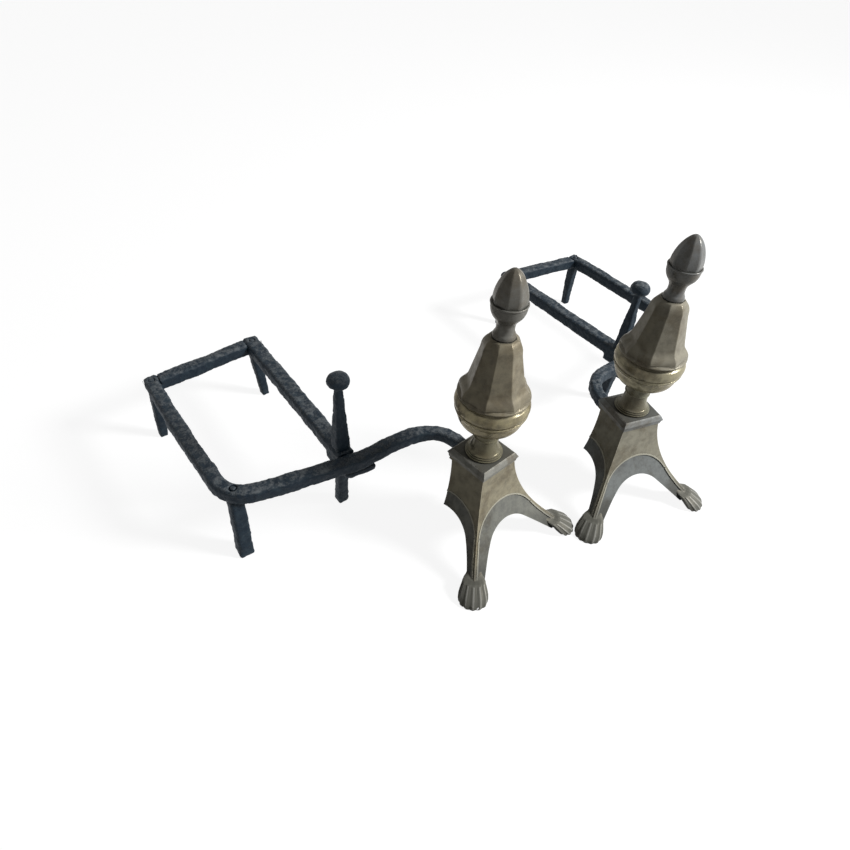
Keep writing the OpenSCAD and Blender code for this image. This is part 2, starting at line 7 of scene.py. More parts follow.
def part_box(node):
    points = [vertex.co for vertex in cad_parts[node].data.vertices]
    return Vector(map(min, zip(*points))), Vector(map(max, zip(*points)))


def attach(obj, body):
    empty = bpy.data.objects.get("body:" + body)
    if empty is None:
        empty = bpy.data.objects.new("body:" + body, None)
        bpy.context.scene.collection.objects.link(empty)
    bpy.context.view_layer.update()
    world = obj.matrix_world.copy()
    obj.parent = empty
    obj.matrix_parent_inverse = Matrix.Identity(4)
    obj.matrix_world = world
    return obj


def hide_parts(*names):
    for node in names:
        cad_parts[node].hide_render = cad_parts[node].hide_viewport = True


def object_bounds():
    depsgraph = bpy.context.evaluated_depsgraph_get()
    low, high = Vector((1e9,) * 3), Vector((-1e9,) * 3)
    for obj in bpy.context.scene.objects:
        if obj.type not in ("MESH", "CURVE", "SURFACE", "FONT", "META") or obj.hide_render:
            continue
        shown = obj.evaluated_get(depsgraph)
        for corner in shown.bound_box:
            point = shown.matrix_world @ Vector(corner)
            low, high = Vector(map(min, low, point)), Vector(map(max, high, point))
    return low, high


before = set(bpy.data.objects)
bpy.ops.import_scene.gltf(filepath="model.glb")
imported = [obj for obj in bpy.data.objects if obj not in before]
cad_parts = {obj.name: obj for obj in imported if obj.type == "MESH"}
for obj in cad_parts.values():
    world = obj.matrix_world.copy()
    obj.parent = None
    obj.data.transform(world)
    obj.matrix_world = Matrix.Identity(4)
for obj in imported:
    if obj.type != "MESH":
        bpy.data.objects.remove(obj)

cad_box = [list(corner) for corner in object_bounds()]
scene = bpy.context.scene
scene.view_settings.view_transform = "Standard"

# ---- Hearth and light ----
# A pale hearth slab under the pair in a plain white room, one large window
# light on the right of the viewer and a weak one on the left.


def rod_foot(side):
    """Where the middle line of a column meets the floor."""
    foot = sum(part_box(f"{side}_finial"), Vector()) / 2
    foot.z = 0
    return foot


def new_material(name):
    """The material, its node tree, its shader, and the place on the object."""
    material = bpy.data.materials.new(name)
    material.use_nodes = True
    tree = material.node_tree
    where = tree.nodes.new("ShaderNodeTexCoord").outputs["Object"]
    return material, tree, tree.nodes["Principled BSDF"], where


def math_node(tree, operation, a, b):
    node = tree.nodes.new("ShaderNodeMath")
    node.operation = operation
    for socket, value in zip(node.inputs, (a, b)):
        if isinstance(value, (int, float)):
            socket.default_value = value
        else:
            tree.links.new(value, socket)
    return node.outputs[0]


left_rod = rod_foot("left")
bpy.ops.object.select_all(action="DESELECT")
bpy.ops.mesh.primitive_plane_add(size=30, location=(0, 0, 0))
hearth = bpy.context.object
hearth.name = "hearth_floor"

hearth_paint, tree, paint, _ = new_material("hearth_white")
paint.inputs["Base Color"].default_value = (0.2, 0.2, 0.2, 1)
paint.inputs["Roughness"].default_value = 0.9
paint.inputs["Specular IOR Level"].default_value = 0.1
paint.inputs["Emission Color"].default_value = (1, 1, 1, 1)
seen = tree.nodes.new("ShaderNodeLightPath").outputs
in_sight = math_node(tree, "MAXIMUM", seen["Is Camera Ray"], seen["Is Glossy Ray"])
tree.links.new(math_node(tree, "MULTIPLY", in_sight, 0.9), paint.inputs["Emission Strength"])
hearth.data.materials.append(hearth_paint)

room = bpy.data.worlds.new("white_room")
scene.world = room
room.use_nodes = True
tree = room.node_tree
seen = tree.nodes.new("ShaderNodeLightPath").outputs
in_sight = math_node(tree, "MAXIMUM", seen["Is Camera Ray"], seen["Is Glossy Ray"])
in_sight = math_node(tree, "MAXIMUM", in_sight, seen["Is Transmission Ray"])
glow = tree.nodes.new("ShaderNodeMapRange")
glow.inputs["To Min"].default_value = 0.05
glow.inputs["To Max"].default_value = 1.0
tree.links.new(in_sight, glow.inputs["Value"])
tree.links.new(glow.outputs["Result"], tree.nodes["Background"].inputs["Strength"])
tree.nodes["Background"].inputs["Color"].default_value = (1, 1, 1, 1)


def soft_light(name, place, size, power):
    bpy.ops.object.light_add(type="AREA", location=place)
    lamp = bpy.context.object
    lamp.name = name
    lamp.data.shape = "DISK"
    lamp.data.size = size
    lamp.data.energy = power
    lamp.rotation_euler = (Vector((0, 0, 0.15)) - Vector(place)).to_track_quat("-Z", "Y").to_euler()


soft_light("window_right", (1.85, -1.7, 1.9), 0.8, 125)
soft_light("fill_left", (-2.4, -1.0, 1.6), 2.0, 2)

# ---- Camera ----
# The viewer stands in front and to the left of the pair and looks down on it,
# with the head tilted a little.
lens_pixels = 620.7
eye_from_left_rod = Vector((-0.4435, -0.4204, 0.7549))
turn_right, look_down, tilt = radians(38.7), radians(43.0), radians(4.7)
bpy.ops.object.camera_add()
camera = bpy.context.object
camera.data.sensor_width = 36
camera.data.lens = lens_pixels / 850 * 36
camera.matrix_world = (
    Matrix.Translation(left_rod + eye_from_left_rod)
    @ Matrix.Rotation(-turn_right, 4, "Z")
    @ Matrix.Rotation(pi / 2 - look_down, 4, "X")
    @ Matrix.Rotation(tilt, 4, "Z")
)
scene.camera = camera

# ---- Column: finial, steeple, dish, pedestal and plinth ----
# Cast brass, turned or filed to shape and never lacquered. It has gone brown
# in blotches, with grime and painted shade in the hollows, bare metal and a
# painted highlight on the edges, and darker flat tops. The pieces stand in one
# another on a rod, and the finial screws down on it.


def work_copy(node, flat=radians(0.4)):
    """A merged copy of a solid, ready to be worked on by hand."""
    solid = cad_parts[node]
    copy = solid.copy()
    copy.data = solid.data.copy()
    copy.name = node + "_cast"
    copy.data.materials.clear()
    bpy.context.collection.objects.link(copy)
    bpy.ops.object.select_all(action="DESELECT")
    copy.select_set(True)
    bpy.context.view_layer.objects.active = copy
    bpy.ops.object.mode_set(mode="EDIT")
    bpy.ops.mesh.select_all(action="SELECT")
    bpy.ops.mesh.remove_doubles(threshold=0.00002)
    if flat:
        bpy.ops.mesh.dissolve_limited(angle_limit=flat)
    bpy.ops.object.mode_set(mode="OBJECT")
    return copy


def stands_for(piece, node):
    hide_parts(node)
    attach(piece, "root")


def finish_step(piece, kind, **values):
    """Add one modifier with these values and apply it."""
    bpy.ops.object.modifier_add(type=kind)
    step = piece.modifiers[-1]
    for name, value in values.items():
        setattr(step, name, value)
    bpy.ops.object.modifier_apply(modifier=step.name)


def new_group(name, inputs, outputs):
    group = bpy.data.node_groups.new(name, "ShaderNodeTree")
    for socket, kind, value in inputs:
        made = group.interface.new_socket(socket, in_out="INPUT", socket_type=kind)
        made.default_value = value
    for socket, kind in outputs:
        group.interface.new_socket(socket, in_out="OUTPUT", socket_type=kind)
    return group, group.nodes.new("NodeGroupInput"), group.nodes.new("NodeGroupOutput")


def noise_node(tree, vector, scale, detail, roughness=0.55):
    noise = tree.nodes.new("ShaderNodeTexNoise")
    noise.inputs["Scale"].default_value = scale
    noise.inputs["Detail"].default_value = detail
    noise.inputs["Roughness"].default_value = roughness
    tree.links.new(vector, noise.inputs["Vector"])
    return noise


def ramp(tree, value, low, high):
    """0 below low, 1 above high, smooth between."""
    mapped = tree.nodes.new("ShaderNodeMapRange")
    mapped.interpolation_type = "SMOOTHSTEP"
    mapped.inputs["From Min"].default_value = low
    mapped.inputs["From Max"].default_value = high
    tree.links.new(value, mapped.inputs["Value"])
    return mapped.outputs["Result"]


def mix_colour(tree, factor, a, b, blend="MIX"):
    mix = tree.nodes.new("ShaderNodeMix")
    mix.data_type = "RGBA"
    mix.blend_type = blend
    if isinstance(factor, (int, float)):
        mix.inputs["Factor"].default_value = factor
    else:
        tree.links.new(factor, mix.inputs["Factor"])
    for socket, value in ((mix.inputs["A"], a), (mix.inputs["B"], b)):
        if isinstance(value, tuple):
            socket.default_value = (*value, 1)
        else:
            tree.links.new(value, socket)
    return mix.outputs["Result"]


def shade(colour, factor):
    return tuple(min(1, factor * c) for c in colour)


def group_node(tree, group, where=None):
    node = tree.nodes.new("ShaderNodeGroup")
    node.node_tree = group
    if where is not None:
        tree.links.new(where, node.inputs["Vector"])
    return node


def facing_up(tree):
    """The upward part of the surface's direction: 1 on a flat top."""
    facing = tree.nodes.new("ShaderNodeSeparateXYZ")
    tree.links.new(tree.nodes.new("ShaderNodeTexCoord").outputs["Normal"], facing.inputs["Vector"])
    return facing.outputs["Z"]


def add_relief(tree, shader, height, strength, distance):
    relief = tree.nodes.new("ShaderNodeBump")
    relief.inputs["Strength"].default_value = strength
    relief.inputs["Distance"].default_value = distance
    tree.links.new(height, relief.inputs["Height"])
    tree.links.new(relief.outputs["Normal"], shader.inputs["Normal"])


# Edges and hollows: bare metal and painted highlight on edges, dirt and painted shade in hollows.
edge_and_hollow_masks, masks_in, masks_out = new_group(
    "edge_and_hollow_masks",
    [("Radius", "NodeSocketFloat", 0.0012), ("Hollow Reach", "NodeSocketFloat", 0.006)],
    [("Edge", "NodeSocketFloat"), ("Hollow", "NodeSocketFloat")],
)
rounded = edge_and_hollow_masks.nodes.new("ShaderNodeBevel")
rounded.samples = 6
edge_and_hollow_masks.links.new(masks_in.outputs["Radius"], rounded.inputs["Radius"])
surface = edge_and_hollow_masks.nodes.new("ShaderNodeNewGeometry")
sameness = edge_and_hollow_masks.nodes.new("ShaderNodeVectorMath")
sameness.operation = "DOT_PRODUCT"
edge_and_hollow_masks.links.new(rounded.outputs["Normal"], sameness.inputs[0])
edge_and_hollow_masks.links.new(surface.outputs["Normal"], sameness.inputs[1])
bent = math_node(edge_and_hollow_masks, "SUBTRACT", 1.0, sameness.outputs["Value"])
openness = edge_and_hollow_masks.nodes.new("ShaderNodeAmbientOcclusion")
openness.samples = 6
edge_and_hollow_masks.links.new(masks_in.outputs["Hollow Reach"], openness.inputs["Distance"])
hollow = math_node(edge_and_hollow_masks, "SUBTRACT", 1.0, ramp(edge_and_hollow_masks, openness.outputs["AO"], 0.35, 0.95))
edge = math_node(edge_and_hollow_masks, "MULTIPLY", ramp(edge_and_hollow_masks, bent, 0.01, 0.12),
                 ramp(edge_and_hollow_masks, openness.outputs["AO"], 0.6, 0.9))
edge_and_hollow_masks.links.new(edge, masks_out.inputs["Edge"])
edge_and_hollow_masks.links.new(hollow, masks_out.inputs["Hollow"])

# Tarnish: broad brown blotches, finer stains, and specks of corrosion.
tarnish, tarnish_in, tarnish_out = new_group(
    "tarnish",
    [("Vector", "NodeSocketVector", (0, 0, 0)), ("Amount", "NodeSocketFloat", 0.5)],
    [("Blotch", "NodeSocketFloat"), ("Stain", "NodeSocketFloat"), ("Speck", "NodeSocketFloat"),
     ("Height", "NodeSocketFloat")],
)
place = tarnish_in.outputs["Vector"]
broad = noise_node(tarnish, place, 22, 6, 0.6)
broad.inputs["Distortion"].default_value = 0.6
more = math_node(tarnish, "SUBTRACT", tarnish_in.outputs["Amount"], 0.5)
more = math_node(tarnish, "MULTIPLY", more, 0.3)
blotch = ramp(tarnish, math_node(tarnish, "ADD", broad.outputs["Fac"], more), 0.44, 0.64)
stain = ramp(tarnish, noise_node(tarnish, place, 95, 8, 0.65).outputs["Fac"], 0.38, 0.68)
cells = tarnish.nodes.new("ShaderNodeTexVoronoi")
cells.inputs["Scale"].default_value = 420
tarnish.links.new(place, cells.inputs["Vector"])
dots = math_node(tarnish, "SUBTRACT", 1.0, ramp(tarnish, cells.outputs["Distance"], 0.08, 0.3))
patches = ramp(tarnish, noise_node(tarnish, place, 60, 4).outputs["Fac"], 0.56, 0.7)
speck = math_node(tarnish, "MULTIPLY", dots, patches)
height = math_node(tarnish, "SUBTRACT", noise_node(tarnish, place, 110, 4, 0.45).outputs["Fac"],
                   math_node(tarnish, "MULTIPLY", speck, 0.5))
for value, name in ((blotch, "Blotch"), (stain, "Stain"), (speck, "Speck"), (height, "Height")):
    tarnish.links.new(value, tarnish_out.inputs[name])

# What lies on the metal, whatever its own colour is. The grey grime also paints shade in the
# hollows, and flat tops are darkened.
PATINA = (0.105, 0.082, 0.05)
GRIME_AND_HOLLOW_SHADE = (0.15, 0.155, 0.15)
STAIN = tuple(0.5 * (p + g) for p, g in zip(PATINA, GRIME_AND_HOLLOW_SHADE))
FLAT_TOP_DARK = (0.05, 0.05, 0.042)
BRASS_RELIEF = 0.0005


def old_brass(name, metal, tarnished, rough, metallic, grain, bump, zoned=None):
    """Brass that shows its age: bare metal, brown patina and grey grime, with painted shade in the
    hollows and a painted highlight on the edges.

    The function zoned, if there is one, changes the colour of some places."""
    material, tree, brass, where = new_material(name)
    aged = group_node(tree, tarnish, where)
    aged.inputs["Amount"].default_value = tarnished
    edges_and_hollows = group_node(tree, edge_and_hollow_masks)
    stretched = tree.nodes.new("ShaderNodeMapping")
    stretched.inputs["Scale"].default_value = grain
    tree.links.new(where, stretched.inputs["Vector"])
    lines = noise_node(tree, stretched.outputs["Vector"], 260, 4, 0.6).outputs["Fac"]

    colour = metal
    for mask, share, over in (
        (aged.outputs["Blotch"], 0.62, PATINA),
        (aged.outputs["Stain"], 0.4, STAIN),
        (ramp(tree, lines, 0.42, 0.7), 0.22, shade(metal, 1.25)),
        (aged.outputs["Speck"], 0.5, shade(PATINA, 0.3)),
        # Hollows: grime, darkened further as painted shade.
        (edges_and_hollows.outputs["Hollow"], 0.8, shade(GRIME_AND_HOLLOW_SHADE, 0.35)),
        # Edges: bare metal, lightened further as a painted highlight.
        (edges_and_hollows.outputs["Edge"], 0.75, shade(metal, 1.9)),
    ):
        colour = mix_colour(tree, math_node(tree, "MULTIPLY", mask, share), colour, over)
    if zoned:
        colour = zoned(tree, where, colour, edges_and_hollows.outputs["Edge"])
    # Flat tops are darkened, except at their edges.
    flat_top = math_node(tree, "MULTIPLY", ramp(tree, facing_up(tree), 0.97, 0.995),
                         math_node(tree, "SUBTRACT", 1.0, edges_and_hollows.outputs["Edge"]))
    colour = mix_colour(tree, math_node(tree, "MULTIPLY", flat_top, 0.7), colour, FLAT_TOP_DARK)
    tree.links.new(colour, brass.inputs["Base Color"])

    roughness = rough
    for mask, operation, share in (
        (aged.outputs["Stain"], "ADD", 0.14),
        (edges_and_hollows.outputs["Hollow"], "ADD", 0.25),
        (edges_and_hollows.outputs["Edge"], "SUBTRACT", 0.12),
    ):
        roughness = math_node(tree, operation, roughness, math_node(tree, "MULTIPLY", mask, share))
    tree.links.new(roughness, brass.inputs["Roughness"])
    dulled = math_node(tree, "MULTIPLY", aged.outputs["Stain"], 0.5 * metallic)
    tree.links.new(math_node(tree, "SUBTRACT", metallic, dulled), brass.inputs["Metallic"])
    brass.inputs["Specular IOR Level"].default_value = 0.14
    brass.inputs["Specular Tint"].default_value = (1, 0.86, 0.62, 1)
    height = math_node(tree, "ADD", aged.outputs["Height"], math_node(tree, "MULTIPLY", lines, 0.6))
    add_relief(tree, brass, height, bump, BRASS_RELIEF)
    return material


# The right andiron has been rubbed a little greyer than the left one.
TONE = {"left": (1, 1, 1), "right": (1, 1.05, 1.16)}
# Colour of the metal, share tarnished, roughness, metallic, grain and relief.
COLUMN = {
    "finial": ((0.2, 0.198, 0.182), 0.5, 0.24, 0.1, (1, 1, 9), 0.2),
    "steeple": ((0.28, 0.25, 0.18), 0.5, 0.3, 0.07, (6, 6, 1), 0.2),
    "dish": ((0.33, 0.29, 0.18), 0.55, 0.2, 0.3, (1, 1, 12), 0.12),
    "pedestal": ((0.19, 0.178, 0.118), 0.5, 0.22, 0.17, (1, 1, 12), 0.12),
    "plinth": ((0.26, 0.26, 0.235), 0.5, 0.42, 0.08, (1, 1, 1), 0.3),
}


def toned(colour, side):
    return tuple(c * t for c, t in zip(colour, TONE[side]))


def select_side_edges(piece, axis, low, high):
    """Select the edges that run up between two flat sides."""
    bpy.ops.object.mode_set(mode="EDIT")
    bpy.ops.mesh.select_mode(type="EDGE")
    bpy.ops.mesh.select_all(action="DESELECT")
    bpy.ops.mesh.edges_select_sharp(sharpness=radians(14))
    bpy.ops.object.mode_set(mode="OBJECT")
    points = piece.data.vertices
    chosen = []
    for edge in piece.data.edges:
        a, b = (points[i].co - axis for i in edge.vertices)
        inside = low < min(a.z, b.z) and max(a.z, b.z) < high
        upright = abs(a.xy.angle_signed(b.xy, pi)) < radians(1) and abs(a.z - b.z) > 0.0002
        if edge.select and inside and upright:
            chosen.append(edge)
    for group in (piece.data.polygons, piece.data.edges, points):
        group.foreach_set("select", [False] * len(group))
    for edge in chosen:
        edge.select = True
        for i in edge.vertices:
            points[i].select = True
    bpy.ops.object.mode_set(mode="EDIT")


def turned(name, foot, profile):
    """A round solid drawn up ring by ring, like work on a lathe."""
    bpy.ops.object.select_all(action="DESELECT")
    radius, height = (value / 1000 for value in profile[0])
    bpy.ops.mesh.primitive_circle_add(vertices=96, radius=radius, fill_type="NGON",
                                      location=foot + Vector((0, 0, height)))
    piece = bpy.context.object
    piece.name = name
    bpy.ops.object.transform_apply(location=True, rotation=True, scale=True)
    bpy.ops.object.mode_set(mode="EDIT")
    for (r0, z0), (r1, z1) in zip(profile, profile[1:]):
        middle = foot + Vector((0, 0, z1 / 1000))
        bpy.ops.mesh.extrude_region_move(
            TRANSFORM_OT_translate={"value": (0, 0, (z1 - z0) / 1000)})
        bpy.ops.transform.resize(value=(r1 / r0, r1 / r0, 1), center_override=middle)
    bpy.ops.mesh.select_all(action="SELECT")
    bpy.ops.mesh.normals_make_consistent(inside=False)
    bpy.ops.object.mode_set(mode="OBJECT")
    return piece


def ring(radius, height, bulge, steps=5):
    """A half-round ring on a turned piece, in millimetres."""
    turns = [-pi / 2 + pi * i / steps for i in range(steps + 1)]
    return [(radius + bulge * cos(t), height + bulge * sin(t)) for t in turns]


# Outline of the pedestal from its foot up: three fine rings, a cove, and a
# straight neck with a ring under the seat of the dish.
PEDESTAL = [
    (24.8, 0), (25.4, 0.4), *ring(25, 1.8, 1.2), (24.2, 3.2), *ring(23.6, 4.4, 1), (22.8, 5.6),
    *ring(22.2, 6.7, 0.8), (21.5, 7.8), (20.4, 9), (19.4, 11), (18.6, 13.6), (17.9, 17), (17.3, 21),
    (17, 25), (16.9, 28.6), (17.2, 29.4), *ring(17.2, 31.2, 1.2), (17, 33), (16.8, 36.6), (16.8, 40),
    (17, 44), (17.4, 48)]

# How far above the lower end of finial and steeple their flat sides start, and
# how far short of the top they stop. Then the rounding of the edges, in per
# cent of the side for the finial and in metres for the other two.
FINIAL_SIDES, STEEPLE_SIDES = (0.047, 0.0004), (0.0044, 0.0002)
FINIAL_ROUNDING, STEEPLE_ROUNDING, PLINTH_ROUNDING = 17, 0.0011, 0.0006


def smooth_faces(piece, angle):
    bpy.ops.object.shade_smooth_by_angle(angle=radians(angle))
    finish_step(piece, "WEIGHTED_NORMAL", mode="FACE_AREA", keep_sharp=True)


for side in ("left", "right"):
    axis = rod_foot(side)
    for part, (metal, *look) in COLUMN.items():
        node = f"{side}_{part}"
        low, high = (corner.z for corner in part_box(node))
        if part == "pedestal":
            piece = turned(node + "_turned", Vector((axis.x, axis.y, low)), PEDESTAL)
        else:
            piece = work_copy(node)
        if part == "finial":
            select_side_edges(piece, axis, low + FINIAL_SIDES[0], high - FINIAL_SIDES[1])
            bpy.ops.mesh.bevel(offset_type="PERCENT", offset_pct=FINIAL_ROUNDING, segments=4,
                               affect="EDGES")
            bpy.ops.object.mode_set(mode="OBJECT")
        elif part == "steeple":
            select_side_edges(piece, axis, low + STEEPLE_SIDES[0], high - STEEPLE_SIDES[1])
            bpy.ops.mesh.bevel(offset_type="OFFSET", offset=STEEPLE_ROUNDING, segments=3,
                               affect="EDGES")
            bpy.ops.object.mode_set(mode="OBJECT")
        elif part == "plinth":
            finish_step(piece, "BEVEL", width=PLINTH_ROUNDING, segments=2, limit_method="ANGLE",
                        angle_limit=radians(24), use_clamp_overlap=True)
        smooth_faces(piece, 40 if part in ("finial", "steeple") else 26)
        finish = old_brass(f"{part}_brass_{side}", toned(metal, side), *look)
        piece.data.materials.append(finish)
        stands_for(piece, node)

# ---- Bases ----
# One hollow brass casting each, with sunk bands along the arches between raised
# threads, and two fluted paws, dark grey near the floor but for the backs of the
# toes, which are lightened as wear and a painted highlight.

# Fluted paw: half width, half depth and height. It has twelve round toes with
# sharp grooves, leans in to the ankle, and ends in a heel under the leg. It is
# a hair larger than the cast paw that it covers.
PAW_WIDTH, PAW_DEPTH, PAW_HEIGHT, PAW_COVER = 0.021, 0.015, 0.020, 1.003
TOES, GROOVE, PAW_RINGS = 12, 0.003, 34
PAW_TURNS = (-pi / 4, pi / 4)
# The toes end at this share of the height, and lie this far out from the rod.
TOES_TOP, TOES_OUT = 1.02, 0.09
# Share of the height, then of the half width and half depth, and the distance
# of the ring's middle from the rod.
PAW_SWELL = (
    (0, 0.87, 0.87, 0.144), (0.1, 0.96, 0.97, 0.1431), (0.28, 1, 1.02, 0.1403),
    (0.5, 0.985, 1.005, 0.1357), (0.68, 0.92, 0.93, 0.1312), (0.84, 0.84, 0.84, 0.1268),
    (0.93, 0.79, 0.79, 0.1241), (1, 0.77, 0.77, 0.122), (1.04, 0.7, 0.7, 0.1192),
    (1.1, 0.55, 0.55, 0.1142), (1.2, 0.47, 0.47, 0.1085), (1.3, 0.46, 0.46, 0.105),
    (1.36, 0.38, 0.38, 0.104))
PAW_TOP = PAW_SWELL[-1][0]


def swell_at(share):
    """Half width, half depth and distance from the rod at this share."""
    for (a, *below), (b, *above) in zip(PAW_SWELL, PAW_SWELL[1:]):
        if share <= b + 1e-6:
            t = (share - a) / (b - a)
            return [p + (q - p) * t for p, q in zip(below, above)]


def groove_at(share):
    """The grooves grow shallower towards the ankle and stop there."""
    if share < 1:
        return GROOVE * (1 - 0.45 * share)
    return GROOVE * max(0, 0.55 - 6 * (share - 1))


def toe_ridge(around):
    """1 on the back of a toe, 0 in the groove between two."""
    return abs(cos(TOES * around / 2)) ** 0.8


def fluted_paw(name):
    """A round bar, cut into rings and then pressed into the paw's shape."""
    bpy.ops.object.select_all(action="DESELECT")
    bpy.ops.mesh.primitive_cylinder_add(vertices=TOES * 10, radius=1, depth=1, end_fill_type="NGON",
                                        location=(0, 0, 0.5))
    paw = bpy.context.object
    paw.name = name
    bpy.ops.object.transform_apply(location=True, rotation=True, scale=True)
    bpy.ops.object.mode_set(mode="EDIT")
    for cut in range(1, PAW_RINGS):
        bpy.ops.mesh.select_all(action="SELECT")
        bpy.ops.mesh.bisect(plane_co=(0, 0, cut / PAW_RINGS), plane_no=(0, 0, 1))
    bpy.ops.object.mode_set(mode="OBJECT")
    for point in paw.data.vertices:
        x, y, share = point.co
        share *= PAW_TOP
        around = atan2(x, -y)
        wide, deep, reach = swell_at(share)
        toe = 1 - groove_at(share) / PAW_WIDTH * (1 - toe_ridge(around))
        point.co = (PAW_COVER * PAW_WIDTH * wide * toe * sin(around),
                    -reach - PAW_COVER * PAW_DEPTH * deep * toe * cos(around),
                    PAW_HEIGHT * share)
    return paw


# The flared faces, in millimetres from the rod and the floor: they are round
# above the legs and slope straight down them.
FLARE_RADIUS, FLARE_X, FLARE_Z = 186, 217.58, 156.44
LEG_X, LEG_Z, LEG_SLOPE = 81.55, 29.59, radians(43)
# Depth of the threads, the field and the bands under the skin.
THREAD_SUNK, FIELD_SUNK, BAND_SUNK = 0, 0.7, 1.4
# The thread over an arch: height of its middle, of its crown and of its end,
# and how far short of the straight threads it ends.
LINE_MIDDLE, LINE_CROWN, LINE_LOW, LINE_GAP = 28.5, 89.5, 59, 2.1
# Its edges, measured from its middle, and the outer one at its end. Metal no
# farther beside it than PULL follows it, down to PULL_DEPTH under the skin and
# no farther than PULL_REACH from the middle.
LINE_FROM, LINE_TO, LINE_END_TO = 59, 61.5, 61.8
PULL, PULL_DEPTH, PULL_REACH = 4.5, 2, 66


def skin_at(out, z):
    """Depth under the skin, and which way the skin faces: outwards and up."""
    if z > LEG_Z:
        to_centre = Vector((FLARE_X - out, FLARE_Z - z))
        return to_centre.length - FLARE_RADIUS, to_centre.normalized()
    return ((LEG_X + (LEG_Z - z) * tan(LEG_SLOPE) - out) * cos(LEG_SLOPE),
            Vector((cos(LEG_SLOPE), sin(LEG_SLOPE))))


def join_threads(piece, axis, turn_back):
    """Lead the thread over each arch on to the threads along the corners.

    Cast, it stops short of them at the height where the straight lines begin.
    The metal beside it follows a little, and less the farther off it lies."""
    for point in piece.data.vertices:
        place = turn_back @ (point.co - axis) * 1000
        along = 0 if abs(place.x) < abs(place.y) else 1
        reach = Vector((place[along], place.z - LINE_MIDDLE)).length
        depth = skin_at(abs(place[1 - along]), place.z)[0]
        if place.z < LINE_LOW - 0.01 or depth > PULL_DEPTH or reach > PULL_REACH:
            continue
        if abs(place.z - LINE_LOW) < 0.01:
            near = 1 if LINE_FROM < reach < LINE_END_TO else 0
        else:
            near = max(0, 1 - max(0, reach - LINE_TO, LINE_FROM - reach) / PULL)
        left_to_crown = max(0, 1 - (place.z - LINE_LOW) / (LINE_CROWN - LINE_LOW))
        shift = LINE_GAP * left_to_crown * near
        place[along] += shift if place[along] > 0 else -shift
        point.co = axis + turn_back.inverted() @ place / 1000


# Heights, in millimetres, at which a base is cut into rings, so that the normals
# of its tall faces can follow the flare.
FLARE_CUTS = range(21, 137, 4)
# How far from a level, in millimetres, a face may lie and still belong to it.
LEVEL_PLAY = 0.15


def face_the_flare(piece, places, turn):
    """Give every face that lies on a flared level that level's own normals."""
    normals = [corner.vector.copy() for corner in piece.data.corner_normals]
    for face in piece.data.polygons:
        spots = [places[i] for i in face.vertices]
        middle = sum(spots, Vector()) / len(spots)
        for across in sorted((0, 1), key=lambda i: -abs(middle[i])):
            sign = 1 if middle[across] > 0 else -1
            skins = [skin_at(sign * spot[across], spot.z) for spot in spots]
            if any(all(abs(depth - level) < LEVEL_PLAY for depth, _ in skins)
                   for level in (THREAD_SUNK, FIELD_SUNK, BAND_SUNK)):
                for loop, (_, facing) in zip(face.loop_indices, skins):
                    normal = Vector((0, 0, facing.y))
                    normal[across] = sign * facing.x
                    normals[loop] = turn @ normal
                break
    piece.data.normals_split_custom_set(normals)


def attribute(tree, name):
    node = tree.nodes.new("ShaderNodeAttribute")
    node.attribute_name = name
    return node.outputs["Fac"]


# A tint for the sunk bands, colours of threads and dark feet, and of toe backs with wear and a
# painted highlight.
BAND_TINT, THREAD_TAN = (0.68, 0.76, 0.94), (0.44, 0.43, 0.36)
FOOT_DARK_GREY, TOE_WEAR_AND_HIGHLIGHT = (0.055, 0.058, 0.056), (0.27, 0.27, 0.255)


def zoned_base(tree, where, colour, edge):
    """Greyer in the sunk bands, bright on the threads, dark grey towards the floor, light there on
    edges and toe backs as wear and a painted highlight.
    """
    sunk = attribute(tree, "sunk")
    deeper = ramp(tree, sunk, BAND_SUNK + 0.4, BAND_SUNK + 0.8)
    band = math_node(tree, "MULTIPLY", ramp(tree, sunk, BAND_SUNK - 0.35, BAND_SUNK - 0.15),
                     math_node(tree, "SUBTRACT", 1.0, deeper))
    below_thread = ramp(tree, sunk, THREAD_SUNK + 0.15, THREAD_SUNK + 0.35)
    thread = math_node(tree, "SUBTRACT", 1.0, below_thread)
    greyed = mix_colour(tree, 1.0, colour, BAND_TINT, "MULTIPLY")
    colour = mix_colour(tree, band, colour, greyed)
    colour = mix_colour(tree, math_node(tree, "MULTIPLY", thread, 0.75), colour, THREAD_TAN)
    rise = tree.nodes.new("ShaderNodeSeparateXYZ")
    tree.links.new(where, rise.inputs["Vector"])
    # The feet are darkened towards the floor.
    near_floor = math_node(tree, "SUBTRACT", 1.0, ramp(tree, rise.outputs["Z"], 0.016, 0.05))
    # Near the floor, edges and the backs of the toes stay light: wear and a painted highlight.
    bright = math_node(tree, "MAXIMUM", edge, ramp(tree, attribute(tree, "toe"), 0.88, 1.0))
    return mix_colour(tree, math_node(tree, "MULTIPLY", near_floor, 0.8), colour,
                      mix_colour(tree, bright, FOOT_DARK_GREY, TOE_WEAR_AND_HIGHLIGHT))


def keep_inside(piece):
    """Press every point that stands out of the object's box back to it."""
    for point in piece.data.vertices:
        point.co = [min(max(value, low), high) for value, low, high in zip(point.co, *cad_box)]


